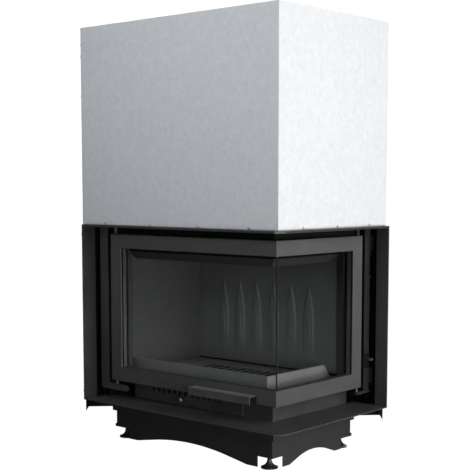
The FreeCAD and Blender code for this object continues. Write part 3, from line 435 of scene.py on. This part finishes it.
def ribbed_lining():
    low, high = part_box("lining_back")
    clear_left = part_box("lining_left")[1].x
    clear_width = high.x - clear_left
    face = low.y + relief_room
    columns, rows = 400, 150
    pitch = clear_width * arch_pitch_share
    first_middle = clear_left + (clear_width - (arch_count - 1) * pitch) / 2
    middles = [first_middle + number * pitch for number in range(arch_count)]
    points = []
    for row in range(rows + 1):
        z = low.z + (high.z - low.z) * row / rows
        joint = joint_depth if row < joint_rows else 0.0
        for column in range(columns + 1):
            x = low.x + (high.x - low.x) * column / columns
            depth = max(arch_relief(x, z, middle, low.z + arch_foot) for middle in middles)
            points.append((x, face - depth + joint, z))
    wide = columns + 1
    faces = []
    for row in range(rows):
        for column in range(columns):
            first = row * wide + column
            faces.append((first, first + 1, first + wide + 1, first + wide))
    back = len(points)
    points += [(low.x, high.y, low.z), (high.x, high.y, low.z),
               (high.x, high.y, high.z), (low.x, high.y, high.z)]
    flat_faces = [
        [back + 1, *range(columns, -1, -1), back],
        [back + 3, *range(rows * wide, rows * wide + wide), back + 2],
        [back, *range(0, rows * wide + 1, wide), back + 3],
        [back + 2, *range(rows * wide + columns, columns - 1, -wide), back + 1],
        [back + 1, back, back + 3, back + 2],
    ]
    made = piece("ribbed_lining", points, faces + flat_faces, back_lining)
    for polygon in made.data.polygons[-len(flat_faces):]:
        polygon.use_smooth = False
    # The joint rows at the lining's foot are set back and take the near-black painted shade: painted shade
    # in the recess, darker than its own shadow.
    made.data.materials.append(shade_black)
    for polygon in made.data.polygons[:joint_rows * columns]:
        polygon.material_index = 1
        polygon.use_smooth = False
    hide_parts("lining_back")
    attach(made, "base")


ribbed_lining()


# Wire ropes of the lift
rope_radius, strand_depth = 0.0017, 0.0003
strand_count, strand_twist = 6, 240
pulley_diameter = 0.09


def middle_of(node):
    low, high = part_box(node)
    return (low + high) / 2


def rope(name, node, lines):
    """Twisted ropes along upright lines, over the height of the node that they replace."""
    low, high = (round(corner.z, 6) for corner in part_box(node))
    around, rings = 18, 61
    points, faces = [], []
    for line in lines:
        faces += tube_faces(len(points), around, rings)
        for ring in range(rings):
            z = low + (high - low) * ring / (rings - 1)
            for step in range(around):
                angle = 2 * math.pi * step / around
                radius = rope_radius + strand_depth * math.cos(strand_count * (angle - z * strand_twist))
                points.append((line.x + radius * math.cos(angle), line.y + radius * math.sin(angle), z))
    made = piece(name, points, faces, steel)
    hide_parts(node)
    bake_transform(made)


left_line, back_line = middle_of("weight_cable_left"), middle_of("weight_cable_back")
door_lines = [left_line - Vector((0, pulley_diameter, 0)), back_line + Vector((pulley_diameter, 0, 0))]
rope("door_ropes", "door_cables", door_lines)
rope("left_weight_rope", "weight_cable_left", [left_line])
rope("back_weight_rope", "weight_cable_back", [back_line])


# Hexagon screws with washers in place of plain heads
screw_inset = 0.004
front_screw_shares = (0.174, 0.414, 0.659, 0.905)
right_screw_shares = (0.274, 0.581, 0.886)
left_screw_shares = (0.653, 0.859, 0.915)
back_screw_shares = (0.152, 0.409, 0.655)
cheek_screw_shares = (0.046, 0.955)
washer_radius, washer_rim_radius = 0.0035, 0.0031
hexagon_radius, hexagon_rim_radius = 0.0027, 0.0022
washer_edge, washer_top, hexagon_edge, hexagon_top = 0.0008, 0.0012, 0.0039, 0.0045


def screw_places():
    """The foot of each screw and the direction that it points in."""
    casing_low, casing_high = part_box("casing_front")[0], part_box("casing_back")[1]
    cheek_low, cheek_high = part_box("cheek_left")
    frame_size = lintel_high - lintel_low
    casing_height = casing_high.z - casing_low.z
    row = casing_low.z + screw_inset
    heads = []
    for share in front_screw_shares:
        heads.append(((lintel_high.x - frame_size.x * share, casing_low.y, row), (0, -1, 0)))
    for share in right_screw_shares:
        heads.append(((casing_high.x, lintel_low.y + frame_size.y * share, row), (1, 0, 0)))
    for share in left_screw_shares:
        for y in (casing_low.y + screw_inset, casing_high.y - screw_inset):
            heads.append(((casing_low.x, y, casing_low.z + casing_height * share), (-1, 0, 0)))
    for share in back_screw_shares:
        for x in (casing_high.x - screw_inset, casing_low.x + screw_inset):
            heads.append(((x, casing_high.y, casing_low.z + casing_height * share), (0, 1, 0)))
    for share in cheek_screw_shares:
        z = cheek_low.z + (cheek_high.z - cheek_low.z) * share
        heads.append(((cheek_low.x, cheek_low.y + screw_inset, z), (-1, 0, 0)))
    return [(Vector(foot), Vector(out)) for foot, out in heads]


def screw_heads():
    around = 24
    sector = math.pi / 3
    washer = [(washer_radius, 0.0), (washer_radius, washer_edge), (washer_rim_radius, washer_top)]
    hexagon = [(hexagon_radius, washer_top), (hexagon_radius, hexagon_edge),
               (hexagon_rim_radius, hexagon_top)]
    points, faces = [], []
    for number, (foot, out) in enumerate(screw_places()):
        side = out.cross(up)
        faces += tube_faces(len(points), around, len(washer + hexagon))
        for ring, (radius, along) in enumerate(washer + hexagon):
            for step in range(around):
                turn = 2 * math.pi * step / around
                reach = radius
                if ring >= len(washer):
                    reach *= math.cos(sector / 2) / math.cos(turn % sector - sector / 2)
                angle = turn + number
                points.append(foot + out * along + (side * math.cos(angle) + up * math.sin(angle)) * reach)
    made = piece("hexagon_screws", points, faces, screw_zinc, smooth=False)
    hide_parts("casing_screws")
    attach(made, "base")


screw_heads()


# Black plates inside the handle's ends, near black where they face the front and right: painted shade inside
# the handle's channel
def handle_ends():
    low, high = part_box("door_handle")
    handle_wall, inset, thickness, bottom_gap = 0.003, 0.0006, 0.0015, 0.0005
    box_faces = ((0, 1, 3, 2), (4, 6, 7, 5), (0, 4, 5, 1), (2, 3, 7, 6), (0, 2, 6, 4), (1, 5, 7, 3))
    points, faces = [], []
    for side in (low.x + inset, high.x - inset - thickness):
        start = len(points)
        for x in (side, side + thickness):
            for y in (low.y + handle_wall, high.y):
                for z in (low.z + bottom_gap, high.z - handle_wall):
                    points.append((x, y, z))
        for face in box_faces:
            faces.append(tuple(start + corner for corner in face))
    made = piece("handle_ends", points, faces, shade_black, smooth=False)
    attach(made, "door")


handle_ends()


# Camera
camera_right, camera_ahead, camera_height = 1.7014, 2.1188, 0.7739
camera_turn, camera_tilt = math.radians(41.154), math.radians(5.528)
camera_sensor, camera_lens, camera_shift = 36.0, 83.47, 0.1169


def aim(thing, target):
    thing.rotation_euler = (target - thing.location).to_track_quat("-Z", "Y").to_euler()


def photo_camera():
    lens = bpy.data.cameras.new("camera")
    lens.sensor_width = camera_sensor
    lens.lens = camera_lens
    lens.shift_y = camera_shift
    camera = bpy.data.objects.new("camera", lens)
    camera.location = (lintel_high.x + camera_right, lintel_low.y - camera_ahead, camera_height)
    scene.collection.objects.link(camera)
    level = math.cos(camera_tilt)
    forward = Vector((-math.sin(camera_turn) * level, math.cos(camera_turn) * level, -math.sin(camera_tilt)))
    aim(camera, camera.location + forward)
    scene.camera = camera


photo_camera()


# Lights
def panel(name, place, target, size, watts, colour, spread):
    light = bpy.data.lights.new(name, "AREA")
    light.spread = math.radians(spread)
    light.shape = "RECTANGLE"
    light.size, light.size_y = size
    light.energy = watts
    light.color = colour
    made = bpy.data.objects.new(name, light)
    made.location = place
    scene.collection.objects.link(made)
    aim(made, Vector(target))


cool, white, warm = (0.94, 0.97, 1.0), (1.0, 1.0, 1.0), (1.0, 0.988, 0.975)
panel("right_window", place=(3.3, 0.3, 1.5), target=(0.0, 0.0, 0.8),
      size=(2.6, 2.6), watts=89.0, colour=warm, spread=180.0)
panel("right_high", place=(3.2, 0.0, 2.0), target=(0.3, 0.0, 1.3),
      size=(1.6, 1.0), watts=3.2, colour=warm, spread=44.0)
panel("right_low", place=(3.3, 0.1, 0.3), target=(0.0, 0.0, 0.3),
      size=(2.0, 0.5), watts=4.2, colour=white, spread=60.0)
panel("right_front", place=(2.7, -1.7, 0.4), target=(0.0, 0.0, 0.45),
      size=(1.4, 0.6), watts=6.4, colour=white, spread=80.0)
panel("front_high", place=(0.6, -3.2, 2.3), target=(0.2, -0.26, 1.55),
      size=(1.6, 1.0), watts=4.8, colour=cool, spread=50.0)
panel("front_level", place=(-0.6, -3.3, 1.25), target=(0.0, 0.0, 1.25),
      size=(2.4, 0.8), watts=2.2, colour=cool, spread=50.0)
panel("front_wash", place=(-0.4, -1.9, 3.2), target=(0.0, -0.3, 0.2),
      size=(1.6, 1.0), watts=7.0, colour=cool, spread=120.0)
panel("back_fill", place=(-2.2, 3.2, 1.6), target=(0.0, 0.0, 0.7),
      size=(2.4, 2.0), watts=60.0, colour=white, spread=180.0)

# Floor and surroundings
paper_white = 1.04
floor_reach = 8
room_heights, room_tones = (-0.3, 0.6), (0.001, 0.006)


def pale_floor():
    """Plain white paper under the feet, which throws little light back."""
    mesh = bpy.data.meshes.new("floor")
    corners = [(-1, -1), (1, -1), (1, 1), (-1, 1)]
    mesh.from_pydata([(x * floor_reach, y * floor_reach, 0) for x, y in corners], [], [(0, 1, 2, 3)])
    made = bpy.data.objects.new("floor", mesh)
    scene.collection.objects.link(made)
    shader = Shader("white_paper")
    shader.ramp(shader.noise(scale=3.0), [(0.3, grey(0.05)), (0.7, grey(0.06))])
    shader.set(Roughness=1.0, Specular_IOR_Level=0.0)
    glow = shader.node("ShaderNodeEmission")
    glow.inputs["Strength"].default_value = paper_white
    glow_share = shader.layered(shader.bsdf.outputs["BSDF"], glow.outputs["Emission"])
    shader.link(shader.node("ShaderNodeLightPath").outputs["Is Camera Ray"], glow_share)
    mesh.materials.append(shader.material)


def white_room():
    """White paper straight to the camera, dim surroundings for everything else."""
    world = bpy.data.worlds.new("room")
    world.use_nodes = True
    scene.world = world
    tree = world.node_tree
    split = tree.nodes.new("ShaderNodeSeparateXYZ")
    tree.links.new(tree.nodes.new("ShaderNodeTexCoord").outputs["Generated"], split.inputs[0])
    height = tree.nodes.new("ShaderNodeMapRange")
    height.inputs["From Min"].default_value, height.inputs["From Max"].default_value = room_heights
    height.inputs["To Min"].default_value, height.inputs["To Max"].default_value = room_tones
    tree.links.new(split.outputs["Z"], height.inputs["Value"])
    blend = tree.nodes.new("ShaderNodeMix")
    blend.data_type = "FLOAT"
    blend.inputs[3].default_value = paper_white
    tree.links.new(tree.nodes.new("ShaderNodeLightPath").outputs["Is Camera Ray"], blend.inputs[0])
    tree.links.new(height.outputs["Result"], blend.inputs[2])
    tree.links.new(blend.outputs[0], tree.nodes["Background"].inputs["Color"])


pale_floor()
white_room()
scene.view_settings.view_transform = "Standard"
